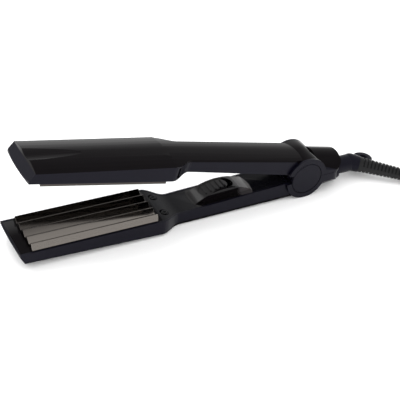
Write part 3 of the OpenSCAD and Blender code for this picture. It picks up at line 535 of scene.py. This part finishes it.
class CRIMPER_OT_relief(bpy.types.Operator):
    """Wraps a grid into the tapered strain relief, slotted above and below"""
    bl_idname = "crimper.relief"
    bl_label = "Strain relief"

    def execute(self, context):
        way = lead_way()
        side = way.cross(Vector((0, 0, 1))).normalized()
        up = side.cross(way)
        stations = relief_stations()
        last = len(stations) - 1
        bm = bmesh.new()
        bmesh.ops.create_grid(bm, x_segments=last, y_segments=RELIEF_AROUND, size=0.5)
        for vert in bm.verts:
            distance, slot, thinner = stations[round((vert.co.x + 0.5) * last)]
            turn = round((vert.co.y + 0.5) * RELIEF_AROUND) * 360.0 / RELIEF_AROUND
            radius = relief_radius(distance, slot, thinner, turn)
            spoke = up * math.cos(math.radians(turn)) + side * math.sin(math.radians(turn))
            vert.co = from_hinge(*(ELBOW_BEND + way * distance + spoke * radius))
        bmesh.ops.remove_doubles(bm, verts=bm.verts, dist=SEAM_GAP)
        bmesh.ops.recalc_face_normals(bm, faces=bm.faces)
        piece = as_piece(bm, "strain_relief_slotted", RELIEF_SHARP)
        dress(piece, "black_soft")
        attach(piece, "cord_swivel")
        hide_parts("strain_relief")
        return {"FINISHED"}


# ---------------------------------------------------------------- solids kept as they are

class CRIMPER_OT_solids(bpy.types.Operator):
    """Gives every solid of the frame its finish"""
    bl_idname = "crimper.solids"
    bl_label = "Solids"

    def execute(self, context):
        for name, node in NODES.items():
            node.data.materials.clear()
            node.data.materials.append(finish_of(SLOT_OF[name]))
        return {"FINISHED"}


# ---------------------------------------------------------------- solids with softened edges

# Node, without its arm's name: width of the rounding in millimetres, least angle that is rounded in degrees
SOFT_EDGES = {
    "cover": (0.6, 30), "shell": (0.35, 30), "inner_panel": (0.3, 35), "plate_carrier": (0.4, 35),
    "plate": (0.45, 30), "screws": (0.15, 40), "swivel_elbow": (0.8, 35),
    "switch_housing": (0.3, 35), "switch_slider": (0.3, 35),
    "hinge_cap_near": (0.4, 30), "hinge_cap_far": (0.4, 30),
    "plug_body": (1.6, 25), "plug_pins": (0.3, 35), "hank_tie": (0.3, 35),
}
ROUNDING_SEGMENTS = 3
SAME_POINT = 2e-6     # metres
SAME_PLANE = 0.4      # degrees
CREASE = 10.0         # degrees


def softened(name, width, angle):
    """A copy of a node's mesh with its edges rounded."""
    node = NODES[name]
    bm = bmesh.new()
    bm.from_mesh(node.data)
    bmesh.ops.transform(bm, matrix=node.matrix_world, verts=bm.verts)
    bmesh.ops.remove_doubles(bm, verts=bm.verts, dist=SAME_POINT)
    bmesh.ops.dissolve_limit(bm, angle_limit=math.radians(SAME_PLANE), verts=bm.verts, edges=bm.edges,
                             use_dissolve_boundaries=False)
    piece = as_piece(bm, name + "_soft", CREASE)
    rounding = piece.modifiers.new("rounding", "BEVEL")
    rounding.width = width * MM
    rounding.segments = ROUNDING_SEGMENTS
    rounding.limit_method = "ANGLE"
    rounding.angle_limit = math.radians(angle)
    rounding.harden_normals = True
    rounding.miter_outer = "MITER_ARC"
    return piece


class CRIMPER_OT_soft_edges(bpy.types.Operator):
    """Covers the visible solids with copies whose edges are rounded"""
    bl_idname = "crimper.soft_edges"
    bl_label = "Soft edges"

    def execute(self, context):
        for name in NODES:
            kind = name.removeprefix("lower_").removeprefix("upper_")
            if kind in SOFT_EDGES:
                piece = softened(name, *SOFT_EDGES[kind])
                dress(piece, "black_satin" if kind.startswith("hinge_cap") else SLOT_OF[name])
                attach(piece, BODY_OF[name])
                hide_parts(name)
        return {"FINISHED"}


# ---------------------------------------------------------------- floor, light and camera

CAMERA_TARGET = (-99.81, -7.98, 15.95)    # millimetres from under the hinge axis
CAMERA_AZIMUTH = math.radians(-31.34)
CAMERA_ELEVATION = math.radians(35.81)
CAMERA_ROLL = math.radians(6.39)
CAMERA_DISTANCE = 0.8658                  # metres, as is its reach
CAMERA_REACH = 50
CAMERA_LENS = 93.23                       # millimetres, as is its sensor
CAMERA_SENSOR = 36

FLOOR_HALF = 4.0
WHITE = (1.0, 1.0, 1.0, 1.0)
WORLD_LIGHT = 1.6

# Lamps: place and size in metres, power in watts
LAMP_TARGET = (-0.05, 0, 0)
LAMPS = {
    "key": ((-0.5, 0.5, 1.0), (0.9, 0.6), 4),
    "side": ((-0.6, -0.8, 0.7), (0.3, 0.3), 2),
}


def camera_axes():
    """Right, up and back of the camera."""
    level = math.cos(CAMERA_ELEVATION)
    back = Vector((math.sin(CAMERA_AZIMUTH) * level, -math.cos(CAMERA_AZIMUTH) * level,
                   math.sin(CAMERA_ELEVATION)))
    right = Vector((0, 0, 1)).cross(back).normalized()
    up = back.cross(right)
    return (right * math.cos(CAMERA_ROLL) + up * math.sin(CAMERA_ROLL),
            up * math.cos(CAMERA_ROLL) - right * math.sin(CAMERA_ROLL), back)


def set_camera(scene):
    """Adds the camera, which looks down on the crimper from the tip's side."""
    right, up, back = camera_axes()
    camera = bpy.data.cameras.new("camera")
    camera.sensor_width = CAMERA_SENSOR
    camera.lens = CAMERA_LENS
    camera.clip_end = CAMERA_REACH
    holder = bpy.data.objects.new("camera", camera)
    place = from_hinge(*CAMERA_TARGET) + back * CAMERA_DISTANCE
    axes = Matrix((right, up, back)).transposed().to_4x4()
    holder.matrix_world = Matrix.Translation(place) @ axes
    scene.collection.objects.link(holder)
    scene.camera = holder


def lay_floor():
    """Adds the pale floor."""
    bm = bmesh.new()
    bmesh.ops.create_grid(bm, x_segments=1, y_segments=1, size=FLOOR_HALF)
    floor = as_piece(bm, "floor", CREASE)
    finish = Finish("floor_white", colours().floor, 0.6)
    finish.vary("Roughness", finish.noise(0.4, 2.0), 0.55, 0.65)
    floor.data.materials.append(finish.material)


def light_world(scene):
    """Plain light for the object, and white for the camera and for mirrors and glass."""
    world = bpy.data.worlds.new("studio")
    scene.world = world
    world.use_nodes = True
    world.node_tree.nodes.clear()
    studio = Nodes(world.node_tree)
    rays = studio.node("ShaderNodeLightPath").outputs
    seen = Field(studio, rays["Is Camera Ray"])
    for kind in ("Is Glossy Ray", "Is Transmission Ray"):
        seen = seen.math("MAXIMUM", seen, rays[kind])
    soft = studio.node("ShaderNodeBackground", {}, {"Color": WHITE, "Strength": WORLD_LIGHT})
    white = studio.node("ShaderNodeBackground", {}, {"Color": WHITE, "Strength": 1.0})
    mix = studio.node("ShaderNodeMixShader", {}, {0: seen, 1: soft.outputs[0], 2: white.outputs[0]})
    studio.node("ShaderNodeOutputWorld", {}, {"Surface": mix.outputs[0]})


def hang_lamp(scene, name, place, size, power):
    """Adds a soft rectangular lamp that faces the crimper."""
    lamp = bpy.data.lights.new(name, "AREA")
    lamp.shape = "RECTANGLE"
    lamp.size, lamp.size_y = size
    lamp.energy = power
    holder = bpy.data.objects.new(name, lamp)
    holder.location = place
    holder.rotation_euler = (Vector(LAMP_TARGET) - Vector(place)).to_track_quat("-Z", "Y").to_euler()
    scene.collection.objects.link(holder)


class CRIMPER_OT_stage(bpy.types.Operator):
    """Adds the pale floor, the soft light and the camera"""
    bl_idname = "crimper.stage"
    bl_label = "Stage"

    def execute(self, context):
        scene = context.scene
        set_camera(scene)
        scene.view_settings.view_transform = "Standard"
        lay_floor()
        light_world(scene)
        for name, (place, size, power) in LAMPS.items():
            hang_lamp(scene, name, place, size, power)
        return {"FINISHED"}


# ---------------------------------------------------------------- panel and run

class CRIMPER_PT_pieces(bpy.types.Panel):
    """Lists the crimper's steps"""
    bl_idname = "CRIMPER_PT_pieces"
    bl_label = "Hair crimper"
    bl_space_type = "VIEW_3D"
    bl_region_type = "UI"
    bl_category = "Crimper"

    def draw(self, context):
        for step in STEPS:
            self.layout.operator(step.bl_idname)


STEPS = (CRIMPER_OT_solids, CRIMPER_OT_soft_edges, CRIMPER_OT_relief, CRIMPER_OT_lead, CRIMPER_OT_stage)
CLASSES = (CrimperSizes, CrimperColours, *STEPS, CRIMPER_PT_pieces)


def register():
    for item in CLASSES:
        bpy.utils.register_class(item)
    bpy.types.Scene.crimper_sizes = bpy.props.PointerProperty(type=CrimperSizes)
    bpy.types.Scene.crimper_colours = bpy.props.PointerProperty(type=CrimperColours)


def unregister():
    del bpy.types.Scene.crimper_colours
    del bpy.types.Scene.crimper_sizes
    for item in reversed(CLASSES):
        bpy.utils.unregister_class(item)


def main():
    register()
    for step in STEPS:
        group, name = step.bl_idname.split(".")
        getattr(getattr(bpy.ops, group), name)()


if __name__ == "__main__":
    main()
